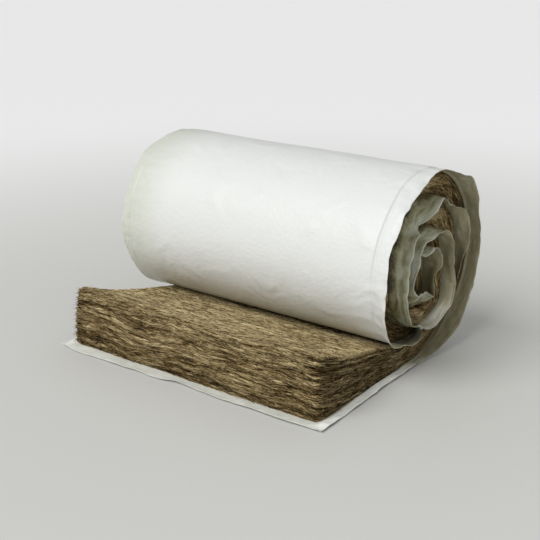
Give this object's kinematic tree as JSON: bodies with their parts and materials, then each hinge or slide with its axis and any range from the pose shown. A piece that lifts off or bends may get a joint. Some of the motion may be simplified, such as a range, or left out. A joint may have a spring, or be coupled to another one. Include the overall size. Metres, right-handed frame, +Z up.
{
  "type": "insulation roll",
  "caption": "Faced glass-wool blanket wound into a roll, its free end laid flat, with tabs of facing past the wool; insulates walls and roofs.",
  "frame": {"origin": "on the floor, in the middle of the part's outline seen from above", "axes": "+X along the roll's axis, -Y along the tail away from the roll, +Z up"},
  "size_m": [1.304, 1.106, 0.7753],
  "materials": {
    "glass_wool": "matte layered glass-wool fibre, brown binder",
    "white_facing": "satin off-white laminated film, lightly wrinkled"
  },
  "bodies": {
    "root": {"wool_blanket": "glass_wool", "facing_sheet": "white_facing"}
  },
  "joints": []
}
